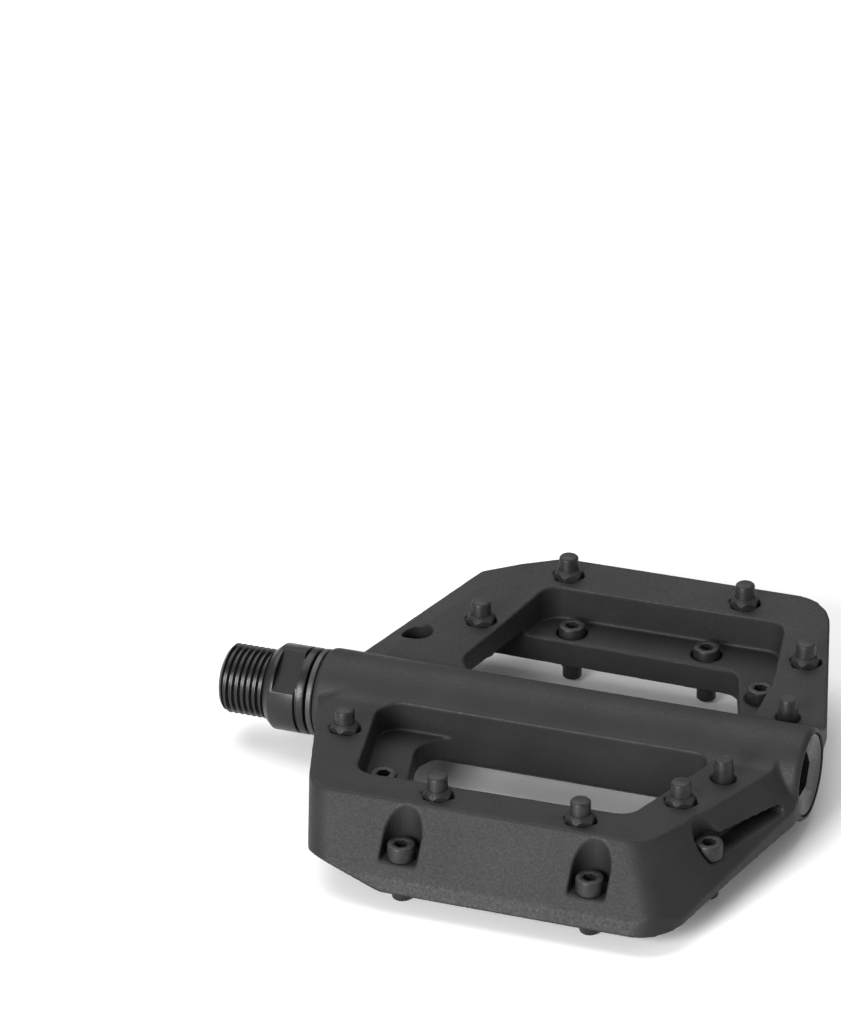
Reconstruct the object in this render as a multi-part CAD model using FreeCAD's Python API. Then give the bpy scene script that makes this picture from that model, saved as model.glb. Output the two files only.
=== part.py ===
"""Flat platform pedal, left-hand (non-drive) side, lying flat.

Frame, millimetres: +X runs out along the spindle, +Y to the rear, +Z up.
The origin is on the spindle axis, in the plane where the spindle shoulder
seats on the crank.  Turned half a turn about the spindle the platform is
its own image, so every cut is made twice, as drawn and as turned over.
"""

import FreeCAD, Part
import math
import os
from FreeCAD import Vector as V

os.makedirs("parts", exist_ok=True)

# ---- driving dimensions -----------------------------------------------------
# spindle, outside the barrel
threadDiameter = 14.288        # 9/16 in pedal thread
threadEnd = -10.2
threadChamfer = 1.0
seatDiameter = 15.4            # face that seats on the crank
collarDiameter = 17.8
collarChamfer = 1.5
collarEnd = 9.2
wrenchFlats = 15.0
flatStart, flatEnd = 2.3, 7.3
flatTilt = 54.0                # degrees, how far up the front flat faces
grooveStart, grooveEnd = 7.0, 7.6
grooveDiameter = 16.4

# spindle, inside the barrel
sealLandDiameter = 13.0
sealLandEnd = 12.9
bushJournalDiameter = 12.0
bushStart, bushEnd = 13.4, 35.4
shankDiameter = 10.4
bearingSeatDiameter = 8.0
bearingStart = 92.0
spindleEnd = 105.0
runningClearance = 0.05

# barrel
barrelRadius = 9.5
barrelStart, barrelEnd = 10.9, 113.2
bushOuterDiameter = 15.0
sealOuterDiameter = 15.6
passageDiameter = 13.0
capBoreDiameter = 16.8
capBoreStart = 105.4
barrelEndRound = 1.5

# outboard cartridge bearing, 8 x 16 x 5
bearingOuterDiameter = 16.0
bearingWidth = 5.0
ballDiameter = 2.0
ballCircle = 12.0
ballCount = 9

# platform
faceDip = 5.3                  # height of the concave faces over the spindle
faceRadius = 625.0
platformEnd = 113.0
platformReach = 56.5           # front and rear edges, measured from the spindle
inboardCornerRound = 6.0
outboardCornerRound = 8.0
rimCornerRound = 9.0
blendRound = 6.0
ledgeHeight = 0.5              # where the offset halves of each window meet

# outer walls: a point on each and the way it faces
frontWall = (V(60.0, -46.0, 7.0), V(0.0, -12.2, 9.4))
inboardWall = (V(13.6, -11.2, 0.0), V(-29.8, -9.6, 0.0))
inboardBevel = (V(25.8, -28.8, -5.96), V(-47.7, -9.5, -149.6))
cornerBevel = (V(28.0, -53.5, -3.6), V(-0.396, -0.636, -1.0))
outboardWall = (V(101.2, -27.0, 5.9), V(0.7494, -0.2673, 0.6058))
# the rims that end the slanted walls: steep in front, upright outboard
frontRim = (V(60.0, -55.4, -5.2), V(0.0, -2.7, 1.2))
outboardRim = (V(103.9, -44.3, 0.0), V(0.965, -0.264, 0.0))

# windows, as corners (x, y, corner radius); front one from above, rear one from above
frontWindow = [(31.5, -37.1, 4.0), (25.7, -8.3, 4.5), (95.9, -8.3, 3.0), (87.0, -35.7, 4.0)]
rearWindow = [(43.0, 45.7, 4.5), (34.1, 8.3, 6.5), (98.1, 8.3, 3.0), (98.0, 24.0, 40.0),
              (94.2, 45.7, 4.5)]

# pins on the upper face, by the arm that carries them (x, y)
pinPlaces = {
    "rear": [(45.8, 50.7), (84.0, 50.7)],
    "front": [(49.8, -40.9), (78.9, -40.9)],
    "inboard": [(34.1, 29.0), (23.1, -21.0)],
    "outboard": [(102.2, 33.0), (94.6, -26.9)],
}
grubPlaces = [(104.8, 11.5), (99.7, -15.4)]
pinStandProud = 4.3
pinDiameter = 4.0
pinTipChamfer = 0.35
pinLength = 9.0                # under the head
headDiameter = 5.5
headHeight = 3.2
headSocket = 2.5
nutAcrossFlats = 5.5
nutDepth = 1.8                 # below the face
nutProud = 1.5                 # above it, as a cone
nutShoulder = 0.25             # height of the hexagon's corners over the face
nutTopDiameter = 4.5
nutPocketGap = 0.15
holeClearance = 0.1
counterboreRadius = 3.15
counterboreTop = 3.3           # where a head's bore inside a window's wall ends
pocketHalfWidth = 3.7
pocketSetback = 0.7
channelRadius = 3.4
grubTipDiameter, grubBaseDiameter = 3.4, 4.4
grubDepth = 5.5
grubRecess = 0.7               # depth of the recess round a grub pin's base
grubRecessGap = 0.3
slotDepth = 4.2
slotLength = 21.0

# end cap and lock hardware
capFaceDiameter = 16.5
capSocket = 8.0
capSocketDepth = 3.4
lockNutAcrossFlats = 12.0
lockNutHeight = 5.0
washerThickness = 1.0

reach = 400.0                  # larger than the part, for cutting tools
through = 30.0                 # past either face, for cutting tools


# ---- helpers ----------------------------------------------------------------
def turned(shape):
    """The same shape after half a turn about the spindle."""
    copy = shape.copy()
    copy.rotate(V(0, 0, 0), V(1, 0, 0), 180)
    return copy


def faceHeight(y):
    return faceDip + faceRadius - math.sqrt(faceRadius ** 2 - y ** 2)


def rod(diameter, start, end, y=0.0, z=0.0):
    """A round bar along the spindle."""
    return Part.makeCylinder(diameter / 2, end - start, V(start, y, z), V(1, 0, 0))


def post(radius, x, y, bottom, top):
    """A round upright bar."""
    return Part.makeCylinder(radius, top - bottom, V(x, y, bottom), V(0, 0, 1))


def hexagon(acrossFlats, centre, axis, height, spin=0.0):
    """A hexagonal bar whose corners start along the first cross axis."""
    radius = acrossFlats / math.sqrt(3)
    side = V(1, 0, 0) if abs(axis.x) < 0.5 else V(0, 1, 0)
    across = axis.cross(side)
    corners = []
    for step in range(7):
        angle = math.radians(60 * (step % 6) + spin)
        corners.append(centre + side * radius * math.cos(angle) + across * radius * math.sin(angle))
    return Part.Face(Part.makePolygon(corners)).extrude(axis * height)


def roundedOutline(corners):
    """A closed wire through the corners (x, y, radius), each rounded by an arc."""
    edges = []
    arcs = []
    count = len(corners)
    for i in range(count):
        before, here, after = corners[i - 1], corners[i], corners[(i + 1) % count]
        point = V(here[0], here[1], 0)
        back = (V(before[0], before[1], 0) - point).normalize()
        ahead = (V(after[0], after[1], 0) - point).normalize()
        half = back.getAngle(ahead) / 2
        run = here[2] / math.tan(half)
        middle = (back + ahead).normalize() * (here[2] / math.sin(half) - here[2])
        arcs.append((point + back * run, point + middle, point + ahead * run))
    for i in range(count):
        edges.append(Part.Arc(*arcs[i]).toShape())
        edges.append(Part.makeLine(arcs[i][2], arcs[(i + 1) % count][0]))
    return Part.Wire(edges)


def prism(corners, bottom, top):
    face = Part.Face(roundedOutline(corners))
    face.translate(V(0, 0, bottom))
    return face.extrude(V(0, 0, top - bottom))


def beyond(point, facing):
    """Everything past a plane, for cutting."""
    normal = V(facing).normalize()
    block = Part.makeBox(2 * reach, 2 * reach, reach, V(-reach, -reach, 0))
    block.Placement = FreeCAD.Placement(point, FreeCAD.Rotation(V(0, 0, 1), normal))
    return block


def save(name, shape):
    shape.exportStep("parts/%s.step" % name)
    box = shape.BoundBox
    print("%-28s solids %d  volume %9.1f  x %6.1f..%6.1f  y %6.1f..%6.1f  z %6.1f..%6.1f"
          % (name, len(shape.Solids), shape.Volume, box.XMin, box.XMax,
             box.YMin, box.YMax, box.ZMin, box.ZMax))


# ---- platform ---------------------------------------------------------------
def cutBack(block, walls):
    """Cut the block along each wall, and along its image on the far side of the spindle."""
    for point, facing in walls:
        tool = beyond(point, facing)
        block = block.cut(tool).cut(turned(tool))
    return block


def cornersOf(block, low, high):
    """Upright or slanted edges at the front and rear, between two places along the spindle."""
    found = []
    for edge in block.Edges:
        ends = [v.Point for v in edge.Vertexes]
        tall = abs(ends[0].z - ends[1].z) > faceDip
        outer = min(abs(p.y) for p in ends) > 40.0
        if tall and outer and low < min(p.x for p in ends) < high:
            found.append(edge)
    return found


def platformBlock():
    """The slab between the slanted outer walls and their rims, its corners rounded."""
    tall = faceHeight(platformReach) + 2.0
    slab = Part.makeBox(platformEnd - barrelStart, reach, 2 * tall,
                        V(barrelStart, -reach / 2, -tall))
    middle = (barrelStart + platformEnd) / 2
    walls = cutBack(slab, [frontWall, inboardWall, outboardWall])
    walls = walls.makeFillet(inboardCornerRound, cornersOf(walls, barrelStart, middle))
    walls = walls.makeFillet(outboardCornerRound, cornersOf(walls, middle, platformEnd))
    walls = cutBack(walls, [inboardBevel, cornerBevel])
    rims = cutBack(slab, [frontRim, outboardRim])
    rims = rims.makeFillet(rimCornerRound, cornersOf(rims, middle, platformEnd))
    return walls.common(rims)


def concaveFaces(block):
    bowl = Part.makeCylinder(faceRadius, 2 * reach, V(-reach, 0, faceDip + faceRadius), V(1, 0, 0))
    return block.cut(bowl).cut(turned(bowl))


def barrelShape():
    barrel = rod(2 * barrelRadius, barrelStart, barrelEnd)
    return barrel.makeFillet(barrelEndRound, [e for e in barrel.Edges if e.Closed])


def barrelBlend():
    """Hollow fillets that run the barrel into the concave faces, on all four sides."""
    far = barrelRadius + blendRound
    high = faceDip + blendRound + 0.05
    wide = math.sqrt(far ** 2 - high ** 2)
    onBarrel = V(0, wide, high) * (barrelRadius / far)
    onFace = V(0, wide, high - blendRound)
    centre = V(0, wide, high)
    between = (onBarrel + onFace) * 0.5 - centre
    middle = centre + between.normalize() * blendRound
    edges = [Part.Arc(onBarrel, middle, onFace).toShape(),
             Part.makeLine(onFace, V(0, wide, 0)), Part.makeLine(V(0, wide, 0), V(0, 0, 0)),
             Part.makeLine(V(0, 0, 0), onBarrel)]
    quarter = Part.Face(Part.Wire(edges))
    quarter.translate(V(barrelStart + barrelEndRound, 0, 0))
    quarter = quarter.extrude(V(platformEnd - barrelStart - barrelEndRound, 0, 0))
    half = quarter.fuse(quarter.mirror(V(0, 0, 0), V(0, 1, 0)))
    return half.fuse(half.mirror(V(0, 0, 0), V(0, 0, 1)))


def windowCuts():
    """Each window is two openings, offset from each other, that meet near mid height."""
    rearTurned = [(x, -y, r) for x, y, r in rearWindow]
    upper = prism(frontWindow, -ledgeHeight, through)
    lower = prism(rearTurned, -through, ledgeHeight)
    return [upper, lower, turned(upper), turned(lower)]


def seatHeight(y):
    """How far past mid height a screw head sits, on the side away from its tip."""
    return faceHeight(y) + pinStandProud - pinLength


def openPocket(x, y):
    """Arched pocket in a slanted wall, open to the side, down to the head's seat."""
    setback = y + pocketSetback if y < 0 else y - pocketSetback
    side = -1 if y < 0 else 1
    channel = post(pocketHalfWidth, x, setback, -seatHeight(y), through)
    slab = Part.makeBox(2 * pocketHalfWidth, through, through + seatHeight(y),
                        V(x - pocketHalfWidth, min(setback, setback + side * through), -seatHeight(y)))
    return channel.fuse(slab)


def endSlot(x, y):
    """Channel over a head in the outboard wall, with a tapering slot towards the barrel."""
    point, facing = outboardWall
    level = V(facing.x, facing.y, 0).normalize()
    along = V(-level.y, level.x, 0)
    start = V(x, y, 0)
    start = start + level * ((point - start).dot(facing) / facing.dot(level) - slotDepth)
    profile = [(0.0, -seatHeight(y)), (slotLength, -1.5), (slotLength + 0.9, -0.6),
               (slotLength, 0.35), (0.0, 2.2)]
    corners = [start + along * s + V(0, 0, z) for s, z in profile]
    slot = Part.Face(Part.makePolygon(corners + corners[:1])).extrude(level * through)
    return slot.fuse(post(channelRadius, x, y, -seatHeight(y), through))


def pinCuts():
    """Clearance hole, nut pocket and head access for every upper-face pin."""
    cuts = []
    for arm, places in pinPlaces.items():
        for x, y in places:
            face = faceHeight(y)
            cuts.append(post(pinDiameter / 2 + holeClearance, x, y, -face, face + 1))
            cuts.append(hexagon(nutAcrossFlats + 2 * nutPocketGap,
                                V(x, y, face - nutDepth), V(0, 0, 1), through))
            # the head of the matching lower-face pin is reached from above
            if arm == "rear":
                cuts.append(openPocket(x, -y))
            elif (x, y) == pinPlaces["outboard"][0]:
                cuts.append(endSlot(x, -y))
            elif (x, y) == pinPlaces["inboard"][1]:
                cuts.append(post(counterboreRadius, x, -y, -seatHeight(y), through))
            else:
                cuts.append(post(counterboreRadius, x, -y, -seatHeight(y), counterboreTop))
    for x, y in grubPlaces:
        cuts.append(post(pinDiameter / 2, x, y, faceHeight(y) - grubDepth, through))
        cuts.append(post(grubBaseDiameter / 2 + grubRecessGap, x, y, faceHeight(y) - grubRecess, through))
    return cuts


def boreCuts():
    return [rod(sealOuterDiameter, barrelStart - 1, bushStart),
            rod(bushOuterDiameter, bushStart - 1, bushEnd),
            rod(passageDiameter, bushEnd - 1, bearingStart + 1),
            rod(bearingOuterDiameter, bearingStart, capBoreStart + 1),
            rod(capBoreDiameter, capBoreStart, barrelEnd + 1)]


def platformBody():
    walls = platformBlock()
    body = concaveFaces(walls).fuse([barrelShape(), barrelBlend().common(walls)]).removeSplitter()
    for cut in windowCuts() + boreCuts():
        body = body.cut(cut)
    for cut in pinCuts():
        body = body.cut(cut).cut(turned(cut))
    return body


# ---- spindle ----------------------------------------------------------------
def spindle():
    """One forging from the crank thread to the lock-nut thread, two wrench flats on its collar."""
    # (x, radius) of each ring from the crank end outwards
    outline = [(threadEnd, threadDiameter / 2 - threadChamfer),
               (threadEnd + threadChamfer, threadDiameter / 2), (0, threadDiameter / 2),
               (0, seatDiameter / 2),
               (collarChamfer, collarDiameter / 2), (grooveStart, collarDiameter / 2),
               (grooveStart, grooveDiameter / 2), (grooveEnd, grooveDiameter / 2),
               (grooveEnd, collarDiameter / 2), (collarEnd - 0.4, collarDiameter / 2),
               (collarEnd, collarDiameter / 2 - 0.4), (collarEnd, sealLandDiameter / 2),
               (sealLandEnd, sealLandDiameter / 2), (bushStart, bushJournalDiameter / 2),
               (bushEnd + 1, bushJournalDiameter / 2), (bushEnd + 4, shankDiameter / 2),
               (bearingStart - 3, shankDiameter / 2), (bearingStart - 2, bearingSeatDiameter / 2 + 1.2),
               (bearingStart, bearingSeatDiameter / 2 + 1.2), (bearingStart, bearingSeatDiameter / 2),
               (spindleEnd - 0.6, bearingSeatDiameter / 2), (spindleEnd, bearingSeatDiameter / 2 - 0.6)]
    corners = [V(x, 0, r) for x, r in outline]
    corners = [V(threadEnd, 0, 0)] + corners + [V(spindleEnd, 0, 0), V(threadEnd, 0, 0)]
    body = Part.Face(Part.makePolygon(corners)).revolve(V(0, 0, 0), V(1, 0, 0), 360)
    flat = Part.makeBox(flatEnd - flatStart, 4 * collarDiameter, collarDiameter,
                        V(flatStart, -2 * collarDiameter, wrenchFlats / 2))
    flat.rotate(V(0, 0, 0), V(1, 0, 0), 90 - flatTilt)
    return body.cut(flat).cut(turned(flat)).removeSplitter()


# ---- what runs inside the barrel --------------------------------------------
def ring(outer, inner, start, end):
    return rod(outer, start, end).cut(rod(inner, start - 1, end + 1))


def lipSeal():
    """Rubber ring pressed in the barrel's mouth, its flange outside."""
    bore = sealLandDiameter + 2 * runningClearance
    body = ring(sealOuterDiameter, bore, barrelStart, bushStart - 0.4)
    flange = ring(2 * barrelRadius - 1.2, bore, collarEnd + 0.5, barrelStart)
    return body.fuse(flange).removeSplitter()


def bearingRaces():
    innerRing = ring(ballCircle - 1.2, bearingSeatDiameter, bearingStart, bearingStart + bearingWidth)
    outerRing = ring(bearingOuterDiameter, ballCircle + 1.2, bearingStart, bearingStart + bearingWidth)
    middle = bearingStart + bearingWidth / 2
    groove = Part.makeTorus(ballCircle / 2, ballDiameter / 2 + runningClearance, V(middle, 0, 0), V(1, 0, 0))
    return innerRing.cut(groove), outerRing.cut(groove)


def ballsAndCage():
    middle = bearingStart + bearingWidth / 2
    balls, pockets = [], []
    for i in range(ballCount):
        angle = 2 * math.pi * i / ballCount
        place = V(middle, ballCircle / 2 * math.cos(angle), ballCircle / 2 * math.sin(angle))
        balls.append(Part.makeSphere(ballDiameter / 2, place))
        pockets.append(Part.makeSphere(ballDiameter / 2 + runningClearance, place))
    cage = ring(ballCircle + 0.7, ballCircle - 0.7, middle - 1.3, middle + 1.3)
    for pocket in pockets:
        cage = cage.cut(pocket)
    return Part.makeCompound(balls), cage


def bearingShield(start):
    return ring(ballCircle + 1.2, ballCircle - 1.0, start, start + 0.3)


def lockNut():
    start = bearingStart + bearingWidth + washerThickness
    nut = hexagon(lockNutAcrossFlats, V(start, 0, 0), V(1, 0, 0), lockNutHeight)
    nut = nut.cut(rod(bearingSeatDiameter, start - 1, start + lockNutHeight + 1))
    cone = Part.makeCone(lockNutAcrossFlats / 2 + lockNutHeight + 0.1, lockNutAcrossFlats / 2 + 0.1,
                         lockNutHeight, V(start, 0, 0), V(1, 0, 0))
    return nut.common(cone)


def endCap():
    """Plug with a dished face and a hexagon socket, screwed into the barrel."""
    cap = rod(capBoreDiameter, capBoreStart + 2.2, barrelEnd - 0.5)
    inner = rod(capFaceDiameter - 2.4, capBoreStart + 0.6, capBoreStart + 3.0)
    dish = Part.makeCone(capSocket / 2 + 0.4, capFaceDiameter / 2 - 0.7, 1.0,
                         V(barrelEnd - 1.5, 0, 0), V(1, 0, 0))
    socket = hexagon(capSocket, V(barrelEnd - 1.5 - capSocketDepth, 0, 0), V(1, 0, 0), 20.0)
    return cap.fuse(inner).cut(dish).cut(socket).removeSplitter()


def capSeal():
    start = capBoreStart + 0.9
    return ring(capBoreDiameter, capFaceDiameter - 2.4, start, start + 1.2)


# ---- traction pins ----------------------------------------------------------
def pinScrew(x, y):
    """Socket-head screw whose chamfered end is the grip pin."""
    face = faceHeight(y)
    seat = face + pinStandProud - pinLength
    shank = post(pinDiameter / 2, x, y, seat, face + pinStandProud)
    shank = shank.makeChamfer(pinTipChamfer, [e for e in shank.Edges if e.Closed
                                              and e.BoundBox.ZMin > face + pinStandProud - 0.01])
    head = post(headDiameter / 2, x, y, seat - headHeight, seat)
    head = head.makeFillet(0.4, [e for e in head.Edges if e.Closed
                                 and e.BoundBox.ZMax < seat - headHeight + 0.01])
    socket = hexagon(headSocket, V(x, y, seat - headHeight), V(0, 0, 1), 1.8)
    return shank.fuse(head).cut(socket).removeSplitter()


def pinNut(x, y):
    """Hexagon nut with a tall conical top."""
    face = faceHeight(y)
    low, high = face - nutDepth, face + nutProud
    nut = hexagon(nutAcrossFlats, V(x, y, low), V(0, 0, 1), high - low)
    nut = nut.cut(post(pinDiameter / 2, x, y, low - 1, high + 1))
    corner = nutAcrossFlats / math.sqrt(3)
    slope = (corner - nutTopDiameter / 2) / (nutProud - nutShoulder)
    cone = Part.makeCone(nutTopDiameter / 2 + slope * (high - low), nutTopDiameter / 2,
                         high - low, V(x, y, low), V(0, 0, 1))
    return nut.common(cone)


def grubPin(x, y):
    """Tapered pin screwed straight into the platform, driven by a small socket in its tip."""
    face = faceHeight(y)
    shank = post(pinDiameter / 2, x, y, face - grubDepth, face - grubRecess)
    taper = Part.makeCone(grubBaseDiameter / 2, grubTipDiameter / 2, pinStandProud + grubRecess,
                          V(x, y, face - grubRecess), V(0, 0, 1))
    return shank.fuse(taper).removeSplitter()


# ---- write the parts --------------------------------------------------------
def main():
    save("platform_body", platformBody())
    save("spindle", spindle())
    save("lip_seal", lipSeal())
    save("inboard_bush", ring(bushOuterDiameter, bushJournalDiameter + 2 * runningClearance,
                              bushStart, bushEnd))
    innerRace, outerRace = bearingRaces()
    balls, cage = ballsAndCage()
    save("bearing_inner_race", innerRace)
    save("bearing_outer_race", outerRace)
    save("bearing_balls", balls)
    save("bearing_cage", cage)
    save("bearing_shield_inboard", bearingShield(bearingStart + 0.1))
    save("bearing_shield_outboard", bearingShield(bearingStart + bearingWidth - 0.4))
    washerStart = bearingStart + bearingWidth
    save("lock_washer", ring(bearingSeatDiameter + 3.4, bearingSeatDiameter, washerStart,
                             washerStart + washerThickness))
    save("lock_nut", lockNut())
    save("end_cap", endCap())
    save("end_cap_o_ring", capSeal())
    for arm, places in pinPlaces.items():
        screws = Part.makeCompound([pinScrew(x, y) for x, y in places])
        nuts = Part.makeCompound([pinNut(x, y) for x, y in places])
        save("pin_screws_top_%s" % arm, screws)
        save("pin_nuts_top_%s" % arm, nuts)
        save("pin_screws_bottom_%s" % arm, turned(screws))
        save("pin_nuts_bottom_%s" % arm, turned(nuts))
    grubs = Part.makeCompound([grubPin(x, y) for x, y in grubPlaces])
    save("grub_pins_top", grubs)
    save("grub_pins_bottom", turned(grubs))


main()
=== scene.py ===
import bpy
import math
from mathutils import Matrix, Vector


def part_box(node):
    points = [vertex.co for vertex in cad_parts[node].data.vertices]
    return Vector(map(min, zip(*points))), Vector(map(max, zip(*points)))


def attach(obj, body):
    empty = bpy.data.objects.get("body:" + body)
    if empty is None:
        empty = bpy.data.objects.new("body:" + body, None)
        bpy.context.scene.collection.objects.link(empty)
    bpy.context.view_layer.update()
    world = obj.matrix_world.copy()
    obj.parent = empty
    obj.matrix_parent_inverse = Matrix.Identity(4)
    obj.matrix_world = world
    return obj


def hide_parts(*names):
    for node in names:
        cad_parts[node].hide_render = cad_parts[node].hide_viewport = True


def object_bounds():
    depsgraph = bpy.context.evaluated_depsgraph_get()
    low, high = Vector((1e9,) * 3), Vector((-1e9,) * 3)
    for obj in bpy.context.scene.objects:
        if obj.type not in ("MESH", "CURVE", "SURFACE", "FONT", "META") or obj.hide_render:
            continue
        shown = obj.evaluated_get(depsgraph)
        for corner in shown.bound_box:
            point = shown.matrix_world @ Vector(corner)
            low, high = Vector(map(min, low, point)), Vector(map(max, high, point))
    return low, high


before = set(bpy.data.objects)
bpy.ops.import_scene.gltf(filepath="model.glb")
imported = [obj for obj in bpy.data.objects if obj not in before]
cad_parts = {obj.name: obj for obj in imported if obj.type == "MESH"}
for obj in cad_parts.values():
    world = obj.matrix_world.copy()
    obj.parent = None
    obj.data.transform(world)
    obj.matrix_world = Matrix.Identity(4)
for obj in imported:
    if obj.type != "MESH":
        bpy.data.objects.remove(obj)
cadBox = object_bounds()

mm = 0.001
grip = 0.02 * mm                  # points closer than this are the same point


# helpers for modelling

def clearSelection():
    if bpy.context.object and bpy.context.object.mode != "OBJECT":
        bpy.ops.object.mode_set(mode="OBJECT")
    bpy.ops.object.select_all(action="DESELECT")


def takeUp(piece):
    clearSelection()
    piece.select_set(True)
    bpy.context.view_layer.objects.active = piece


# selects every edge or face for which the test holds, and stays in edit mode
def pick(piece, kind, test):
    takeUp(piece)
    bpy.ops.object.mode_set(mode="EDIT")
    bpy.ops.mesh.select_mode(type=kind)
    bpy.ops.mesh.select_all(action="DESELECT")
    bpy.ops.object.mode_set(mode="OBJECT")
    for item in {"EDGE": piece.data.edges, "FACE": piece.data.polygons}[kind]:
        item.select = test(item)
    bpy.ops.object.mode_set(mode="EDIT")


def pickAll(piece):
    takeUp(piece)
    bpy.ops.object.mode_set(mode="EDIT")
    bpy.ops.mesh.select_mode(type="VERT")
    bpy.ops.mesh.select_all(action="SELECT")


def tidyMesh(piece):
    pickAll(piece)
    bpy.ops.mesh.remove_doubles(threshold=grip)
    bpy.ops.mesh.dissolve_degenerate(threshold=grip)
    bpy.ops.mesh.select_all(action="SELECT")
    bpy.ops.mesh.normals_make_consistent(inside=False)
    bpy.ops.object.mode_set(mode="OBJECT")


def modify(piece, kind, **settings):
    takeUp(piece)
    modifier = piece.modifiers.new(kind.lower(), kind)
    for key, value in settings.items():
        setattr(modifier, key, value)
    bpy.ops.object.modifier_apply(modifier=modifier.name)


def carve(piece, tool, operation):
    modify(piece, "BOOLEAN", object=tool, operation=operation, solver="EXACT")
    discard(tool)


def discard(piece):
    mesh = piece.data
    bpy.data.objects.remove(piece)
    bpy.data.meshes.remove(mesh)


def settle(piece):
    takeUp(piece)
    bpy.ops.object.transform_apply(location=True, rotation=True, scale=True)


def join(pieces):
    clearSelection()
    for piece in pieces:
        piece.select_set(True)
    bpy.context.view_layer.objects.active = pieces[0]
    bpy.ops.object.join()
    return bpy.context.object


def duplicate(piece):
    takeUp(piece)
    bpy.ops.object.duplicate()
    return bpy.context.object


# turns an outline of (along, radius) points in millimetres about the x or z axis
def lathe(name, outline, axis, steps):
    bpy.ops.mesh.primitive_plane_add(size=mm)
    piece = bpy.context.object
    piece.name = name
    pickAll(piece)
    bpy.ops.mesh.merge(type="CENTER")
    places = [Vector((a, 0, r)) * mm if axis == "x" else Vector((r, 0, a)) * mm for a, r in outline]
    bpy.ops.transform.translate(value=places[0])
    for before, here in zip(places, places[1:]):
        bpy.ops.mesh.extrude_region_move(TRANSFORM_OT_translate={"value": here - before})
    bpy.ops.mesh.select_all(action="SELECT")
    bpy.ops.mesh.spin(steps=steps, angle=2 * math.pi, center=(0, 0, 0),
                      axis=(1, 0, 0) if axis == "x" else (0, 0, 1))
    bpy.ops.object.mode_set(mode="OBJECT")
    tidyMesh(piece)
    return piece


flareSlope = 2.2                  # how much a socket's mouth widens for its depth


# a hexagonal bar along z, its mouth flared and its upright edges eased, sizes in millimetres
def hexBar(acrossFlats, low, high, flare, ease):
    radius = acrossFlats / math.sqrt(3)
    bpy.ops.mesh.primitive_cylinder_add(vertices=6, radius=radius * mm, depth=(high - low) * mm,
                                        location=(0, 0, (low + high) / 2 * mm))
    bar = bpy.context.object
    settle(bar)
    if ease:
        def upright(edge):
            ends = [bar.data.vertices[i].co for i in edge.vertices]
            return abs(ends[0].z - ends[1].z) > grip
        pick(bar, "EDGE", upright)
        bpy.ops.mesh.bevel(offset=ease * mm, segments=2)
        bpy.ops.object.mode_set(mode="OBJECT")
    if flare:
        pick(bar, "FACE", lambda face: face.normal.z < -0.9)
        bpy.ops.mesh.extrude_region_move(TRANSFORM_OT_translate={"value": (0, 0, -flare * mm)})
        wider = 1 + flareSlope * flare / radius
        bpy.ops.transform.resize(value=(wider, wider, 1))
        bpy.ops.object.mode_set(mode="OBJECT")
    return bar


# a right-handed turn, which the operator counts the other way round
def turnAbout(piece, axis, degrees):
    takeUp(piece)
    bpy.ops.transform.rotate(value=-math.radians(degrees), orient_axis=axis, center_override=(0, 0, 0))
    settle(piece)


def shiftTo(piece, place):
    takeUp(piece)
    bpy.ops.transform.translate(value=place)
    settle(piece)


# low and high corners of the solids in a CAD node, told apart by the middle of its length
def solidBoxes(node):
    low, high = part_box(node)
    middle = (low.x + high.x) / 2
    points = [v.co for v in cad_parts[node].data.vertices]
    boxes = []
    for group in ([p for p in points if p.x < middle], [p for p in points if p.x >= middle]):
        boxes.append((Vector([min(p[i] for p in group) for i in range(3)]),
                      Vector([max(p[i] for p in group) for i in range(3)])))
    return boxes


def finish(piece, name, body, material, node, smooth=30):
    settle(piece)
    piece.name = name
    piece.data.name = name
    bpy.ops.object.shade_smooth_by_angle(angle=math.radians(smooth))
    piece.data.materials.clear()
    piece.data.materials.append(material)
    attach(piece, body)
    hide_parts(node)
    return piece


# materials

def makeMaterial(name, look):
    material = bpy.data.materials.new(name)
    material.use_nodes = True
    nodes, links = material.node_tree.nodes, material.node_tree.links
    shader = nodes["Principled BSDF"]
    shader.inputs["Metallic"].default_value = look.get("metal", 0)
    shader.inputs["IOR"].default_value = look.get("ior", 1.5)
    shader.inputs["Specular IOR Level"].default_value = look.get("specular", 0.5)
    place = nodes.new("ShaderNodeTexCoord").outputs["Object"]

    def noise(size, detail):
        texture = nodes.new("ShaderNodeTexNoise")
        texture.inputs["Scale"].default_value = 1 / (size * mm)
        texture.inputs["Detail"].default_value = detail
        links.new(place, texture.inputs["Vector"])
        return texture.outputs["Fac"]

    def spread(source, low, high):
        change = nodes.new("ShaderNodeMapRange")
        change.inputs["From Min"].default_value = 0.3
        change.inputs["From Max"].default_value = 0.7
        change.inputs["To Min"].default_value = low
        change.inputs["To Max"].default_value = high
        links.new(source, change.inputs["Value"])
        return change.outputs["Result"]

    cloud = noise(look["cloud"], 4)
    tint = nodes.new("ShaderNodeMix")
    tint.data_type = "RGBA"
    tint.inputs[6].default_value = (*look["dark"], 1)
    tint.inputs[7].default_value = (*look["light"], 1)
    links.new(spread(cloud, 0, 1), tint.inputs[0])
    links.new(tint.outputs[2], shader.inputs["Base Color"])
    grain = noise(look["grain"], 3)
    links.new(spread(grain, *look["rough"]), shader.inputs["Roughness"])
    bump = nodes.new("ShaderNodeBump")
    bump.inputs["Strength"].default_value = 1
    bump.inputs["Distance"].default_value = look["depth"] * mm
    links.new(grain, bump.inputs["Height"])
    links.new(bump.outputs["Normal"], shader.inputs["Normal"])
    return material


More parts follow.
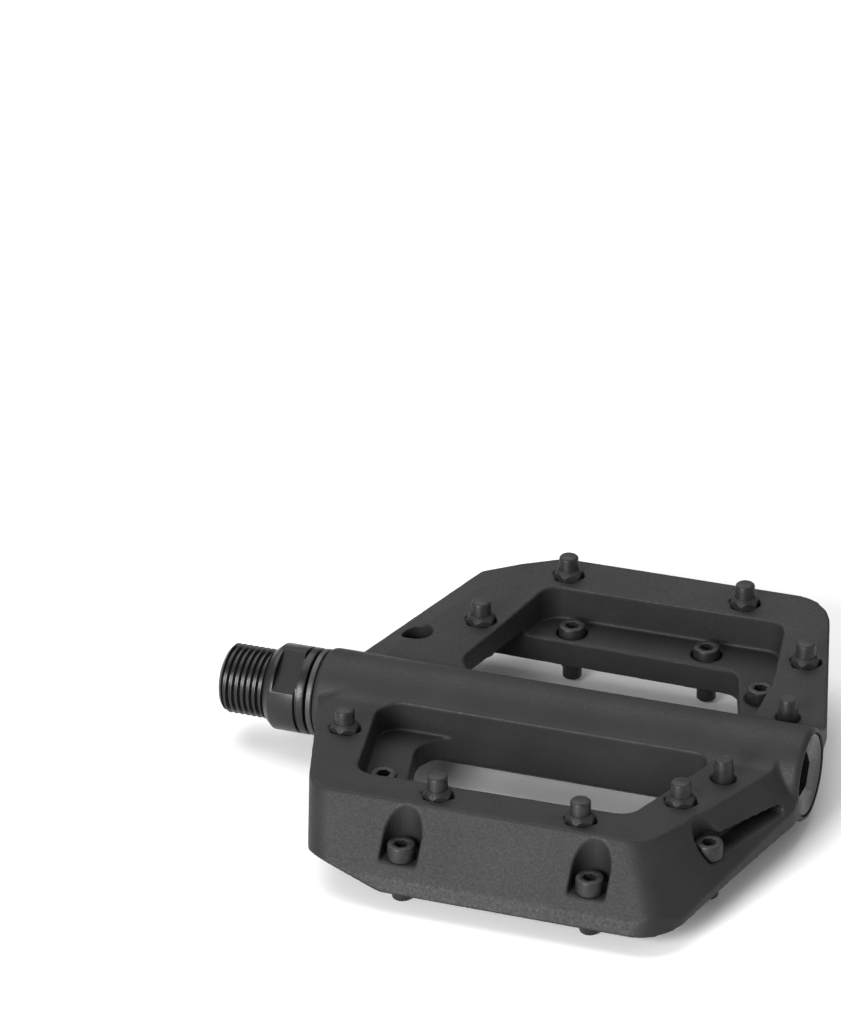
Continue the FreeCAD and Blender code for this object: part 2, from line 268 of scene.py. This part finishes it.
# sizes are in millimetres
nylon = makeMaterial("moulded_nylon", {
    "dark": (0.0105, 0.0107, 0.0112), "light": (0.0155, 0.0157, 0.0162), "rough": (0.48, 0.64),
    "cloud": 12, "grain": 0.5, "depth": 0.03, "specular": 0.25})
blackSteel = makeMaterial("black_steel", {
    "dark": (0.007, 0.007, 0.008), "light": (0.012, 0.012, 0.013), "rough": (0.28, 0.40),
    "cloud": 6, "grain": 0.5, "depth": 0.005, "metal": 0.1, "specular": 0.33})
pinSteel = makeMaterial("pin_steel", {
    "dark": (0.010, 0.010, 0.011), "light": (0.021, 0.021, 0.022), "rough": (0.38, 0.56),
    "cloud": 1.6, "grain": 0.35, "depth": 0.008, "metal": 0.2, "specular": 0.35})
rubber = makeMaterial("seal_rubber", {
    "dark": (0.016, 0.016, 0.017), "light": (0.022, 0.022, 0.023), "rough": (0.38, 0.5),
    "cloud": 5, "grain": 0.4, "depth": 0.004})
capPlastic = makeMaterial("cap_plastic", {
    "dark": (0.010, 0.010, 0.011), "light": (0.015, 0.015, 0.016), "rough": (0.28, 0.38),
    "cloud": 5, "grain": 0.3, "depth": 0.006})
hidden = {
    "bush_polymer": {"dark": (0.30, 0.28, 0.22), "light": (0.36, 0.33, 0.27), "rough": (0.5, 0.6),
                     "cloud": 4, "grain": 0.4, "depth": 0.004},
    "bearing_steel": {"dark": (0.52, 0.52, 0.53), "light": (0.60, 0.60, 0.61), "rough": (0.12, 0.2),
                      "cloud": 4, "grain": 0.2, "depth": 0.001, "metal": 1},
    "cage_brass": {"dark": (0.55, 0.38, 0.14), "light": (0.62, 0.44, 0.18), "rough": (0.25, 0.35),
                   "cloud": 3, "grain": 0.2, "depth": 0.002, "metal": 1},
    "shield_steel": {"dark": (0.45, 0.45, 0.46), "light": (0.52, 0.52, 0.53), "rough": (0.25, 0.35),
                     "cloud": 3, "grain": 0.2, "depth": 0.001, "metal": 1},
    "zinc_steel": {"dark": (0.42, 0.43, 0.45), "light": (0.52, 0.53, 0.54), "rough": (0.3, 0.42),
                   "cloud": 2, "grain": 0.2, "depth": 0.003, "metal": 1},
}
hiddenNodes = {"inboard_bush": "bush_polymer", "bearing_inner_race": "bearing_steel",
               "bearing_outer_race": "bearing_steel", "bearing_balls": "bearing_steel",
               "bearing_cage": "cage_brass", "bearing_shield_inboard": "shield_steel",
               "bearing_shield_outboard": "shield_steel", "lock_washer": "zinc_steel",
               "lock_nut": "zinc_steel"}
made = {slot: makeMaterial(slot, look) for slot, look in hidden.items()}
for node, slot in hiddenNodes.items():
    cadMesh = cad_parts[node].data
    cadMesh.materials.clear()
    cadMesh.materials.append(made[slot])
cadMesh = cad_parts["end_cap_o_ring"].data
cadMesh.materials.clear()
cadMesh.materials.append(rubber)
print("materials made")


# platform: the merged body drawn tight as one skin, its edges eased as a mould leaves them
shell = {"voxel": 0.24, "easing": 15, "strength": 0.5, "triangles": 190000, "smooth": 80}


def makePlatform():
    piece = duplicate(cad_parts["platform_body"])
    piece.parent = None
    for mark in list(piece.keys()):         # the copy isn't a CAD node, so it drops the node's marks
        del piece[mark]
    tidyMesh(piece)
    modify(piece, "REMESH", mode="VOXEL", voxel_size=shell["voxel"] * mm, adaptivity=0)
    modify(piece, "SMOOTH", factor=shell["strength"], iterations=shell["easing"])
    modify(piece, "TRIANGULATE")
    count = len(piece.data.polygons)
    if count > shell["triangles"]:
        modify(piece, "DECIMATE", ratio=shell["triangles"] / count)
    return finish(piece, "platform_shell", "platform", nylon, "platform_body",
                  shell["smooth"])


platform = makePlatform()
print("platform", len(platform.data.polygons), "triangles")


# spindle: turned body, two wrench flats, and a left-hand thread wound round the core
spindleBody = {
    "outline": [(-10.2, 0), (-10.2, 5.5), (-9.95, 5.9), (-9.4, 6.38), (-0.05, 6.38), (0, 6.6), (0, 7.55),
                (0.15, 7.7), (1.38, 8.78), (1.62, 8.9), (6.92, 8.9), (7.0, 8.8), (7.05, 8.2), (7.55, 8.2),
                (7.6, 8.8), (7.72, 8.9), (8.85, 8.9), (9.1, 8.8), (9.2, 8.55), (9.2, 6.5), (12.9, 6.5),
                (13.4, 6.0), (36.4, 6.0), (39.4, 5.2), (92, 5.2), (92, 4.0), (104.4, 4.0), (105, 3.4),
                (105, 0)],
    "flats": 15.0, "flatStart": 2.3, "flatEnd": 7.3, "cutter": (30, 10),
    "tilt": 54,                             # degrees, how far up the front flat faces
    "steps": 96,
}
thread = {"pitch": 1.27, "root": 6.25, "crest": 7.144, "foot": 1.06, "top": 0.26, "start": 0.8,
          "turns": 9, "steps": 48,
          "envelope": [(-10.19, 0), (-10.19, 6.1), (-9.2, 7.144), (-0.5, 7.144), (-0.05, 6.6), (-0.05, 0)]}


def makeThread():
    bpy.ops.mesh.primitive_plane_add(size=mm)
    ridge = bpy.context.object
    settle(ridge)
    # the plane becomes the ridge's cross-section, foot inside the core and crest outside
    corners = [(-thread["foot"] / 2, thread["root"]), (thread["foot"] / 2, thread["root"]),
               (-thread["top"] / 2, thread["crest"]), (thread["top"] / 2, thread["crest"])]
    for vertex, (along, radius) in zip(ridge.data.vertices, corners):
        vertex.co = Vector((thread["start"] + along, 0, radius)) * mm
    steps = thread["steps"] * thread["turns"]
    # the offset runs against the turn, so the thread is left-hand
    modify(ridge, "SCREW", axis="X", angle=2 * math.pi * thread["turns"], steps=steps, render_steps=steps,
           screw_offset=-thread["pitch"] * thread["turns"] * mm, use_smooth_shade=False)
    pickAll(ridge)
    bpy.ops.mesh.select_all(action="DESELECT")
    bpy.ops.mesh.select_non_manifold()
    bpy.ops.mesh.fill_holes(sides=0)
    bpy.ops.object.mode_set(mode="OBJECT")
    tidyMesh(ridge)
    carve(ridge, lathe("thread_envelope", thread["envelope"], "x", spindleBody["steps"]), "INTERSECT")
    return ridge


def makeSpindle():
    body = lathe("spindle_body", spindleBody["outline"], "x", spindleBody["steps"])
    length = spindleBody["flatEnd"] - spindleBody["flatStart"]
    wide, thick = spindleBody["cutter"]
    for side in (1, -1):
        bpy.ops.mesh.primitive_cube_add(size=mm)
        tool = bpy.context.object
        tool.scale = (length, wide, thick)
        tool.location = Vector((spindleBody["flatStart"] + length / 2, 0,
                                side * (spindleBody["flats"] + thick) / 2)) * mm
        settle(tool)
        turnAbout(tool, "X", 90 - spindleBody["tilt"])
        carve(body, tool, "DIFFERENCE")
    return finish(join([body, makeThread()]), "spindle_forging", "spindle", blackSteel,
                  "spindle")


spindlePiece = makeSpindle()
print("spindle", len(spindlePiece.data.polygons), "faces")


# seal ring at the barrel's mouth, with a raised lip against the collar
seal = {"outline": [(13.0, 6.55), (9.75, 6.55), (9.7, 6.75), (9.95, 7.3), (9.95, 7.9), (9.72, 8.3),
                    (9.7, 8.7), (9.8, 8.9), (10.7, 8.95), (10.9, 8.8), (10.9, 7.8), (13.0, 7.8),
                    (13.0, 6.55)]}
finish(lathe("lip_seal_ring", seal["outline"], "x", 96), "lip_seal_ring", "platform",
       rubber, "lip_seal")


# end cap: dished face with a hexagon socket
cap = {"outline": [(106.0, 0), (106.0, 6.9), (106.15, 7.05), (107.6, 7.05), (107.6, 8.2), (107.8, 8.4),
                   (110.6, 8.4), (110.7, 8.2), (112.4, 8.2), (112.62, 8.1), (112.7, 7.9), (112.62, 7.65),
                   (112.4, 7.4), (111.75, 4.6),
                   (111.7, 0)],
       "socket": 8.0, "floor": 108.3, "mouth": 111.72, "flare": 0.35}


def makeCap():
    piece = lathe("end_cap_plug", cap["outline"], "x", 96)
    bar = hexBar(cap["socket"], -cap["mouth"] + cap["flare"], -cap["floor"], cap["flare"] * 2, 0)
    turnAbout(bar, "Y", -90)
    carve(piece, bar, "DIFFERENCE")
    return finish(piece, "end_cap_plug", "platform", capPlastic, "end_cap")


capPiece = makeCap()
print("seal and cap", len(capPiece.data.polygons), "faces")


# traction pins: socket-head screws, seen tip up on one side of the platform and head up on the other
screw = {"outline": [(0, 0), (0, 2.35), (0.12, 2.62), (0.4, 2.75), (3.05, 2.75), (3.2, 2.6), (3.2, 2.0),
                     (11.8, 2.0), (11.95, 1.93), (12.15, 1.72), (12.2, 1.6), (12.2, 0)],
         "socket": 2.5, "depth": 1.8, "flare": 0.12}
nut = {"outline": [(0, 2.0), (0, 2.9), (0.15, 3.25), (2.02, 3.25), (2.1, 3.1), (3.18, 2.34), (3.3, 2.18),
                   (3.24, 2.0), (0, 2.0)], "acrossFlats": 5.5, "height": 3.3, "ease": 0.12}
grub = {"outline": [(0, 0), (0, 1.7), (0.3, 2.0), (4.7, 2.0), (4.8, 2.2), (9.5, 1.72), (9.68, 1.64),
                    (9.8, 1.45), (9.8, 0)]}


def makeScrew():
    piece = lathe("pin_screw", screw["outline"], "z", 48)
    bar = hexBar(screw["socket"], screw["flare"] * 1.2, screw["depth"], screw["flare"] * 2, 0)
    carve(piece, bar, "DIFFERENCE")
    return piece


def makeNut():
    piece = lathe("pin_nut", nut["outline"], "z", 60)
    bar = hexBar(nut["acrossFlats"], -1, nut["height"] + 1, 0, nut["ease"])
    carve(piece, bar, "INTERSECT")
    return piece


# sets a copy of the pattern on every solid of the node, foot down on the upper side and turned over below
def setCopies(pattern, node, name, body, material):
    copies = []
    for low, high in solidBoxes(node):
        copy = duplicate(pattern)
        if "bottom" in node:
            turnAbout(copy, "X", 180)
        foot = high.z if "bottom" in node else low.z
        shiftTo(copy, ((low.x + high.x) / 2, (low.y + high.y) / 2, foot))
        copies.append(copy)
    return finish(join(copies), name, body, material, node)


patterns = {"screw": makeScrew(), "nut": makeNut(), "grub": lathe("grub_pin", grub["outline"], "z", 48)}
for side in ("top", "bottom"):
    for arm in ("rear", "front", "inboard", "outboard"):
        setCopies(patterns["screw"], f"pin_screws_{side}_{arm}", f"screws_{side}_{arm}", "platform",
                  pinSteel)
        setCopies(patterns["nut"], f"pin_nuts_{side}_{arm}", f"nuts_{side}_{arm}", "platform",
                  pinSteel)
    setCopies(patterns["grub"], f"grub_pins_{side}", f"grubs_{side}", "platform", pinSteel)
for pattern in patterns.values():
    discard(pattern)
print("pins set")


# camera, floor and light
cameraSetup = {
    "place": (348.75 * mm, -850.94 * mm, 521.31 * mm),
    "turn": (62.302, 0.795, 20.003),        # degrees, XYZ
    "lens": 182.25,
}


def makeCamera():
    bpy.ops.object.camera_add(location=cameraSetup["place"],
                              rotation=[math.radians(a) for a in cameraSetup["turn"]])
    camera = bpy.context.object
    camera.data.lens = cameraSetup["lens"]
    camera.data.sensor_width = 36
    camera.data.clip_start = 0.01
    camera.data.clip_end = 20
    bpy.context.scene.camera = camera


lampTarget = Vector((60, 0, 0)) * mm

# places in metres; size is the width of an area lamp, or the angle of the sun in radians
lights = {
    "top": {"place": (-0.5, 0.6, 1.6), "kind": "SUN", "size": 1.0, "power": 1.9},
    "side": {"place": (0.85, 0.1, 0.4), "kind": "AREA", "size": 0.5, "power": 0.8},
    "front": {"place": (-0.25, -1.0, 0.4), "kind": "AREA", "size": 0.5, "power": 20.0},
}


def makeLights():
    for name, setup in lights.items():
        place = Vector(setup["place"])
        aim = lampTarget - place
        turn = aim.to_track_quat("-Z", "Y").to_euler()
        bpy.ops.object.light_add(type=setup["kind"], location=place, rotation=turn)
        lamp = bpy.context.object
        lamp.name = name
        if setup["kind"] == "SUN":
            lamp.data.angle = setup["size"]
        else:
            lamp.data.size = setup["size"]
        lamp.data.energy = setup["power"]


def makeFloor():
    bpy.ops.mesh.primitive_plane_add(size=8, location=(0, 0, cadBox[0].z))
    floor = bpy.context.object
    floor.name = "floor"
    floor.data.materials.append(makeMaterial("floor", {
        "dark": (0.90, 0.90, 0.90), "light": (0.92, 0.92, 0.92), "rough": (0.55, 0.65),
        "cloud": 300, "grain": 40, "depth": 0.001, "specular": 0.2}))


makeCamera()
makeLights()
makeFloor()
world = bpy.data.worlds.new("studio")
bpy.context.scene.world = world
world.use_nodes = True
world.node_tree.nodes["Background"].inputs["Color"].default_value = (1, 1, 1, 1)
world.node_tree.nodes["Background"].inputs["Strength"].default_value = 0.42
bpy.context.scene.view_settings.view_transform = "Standard"
print("stage set")
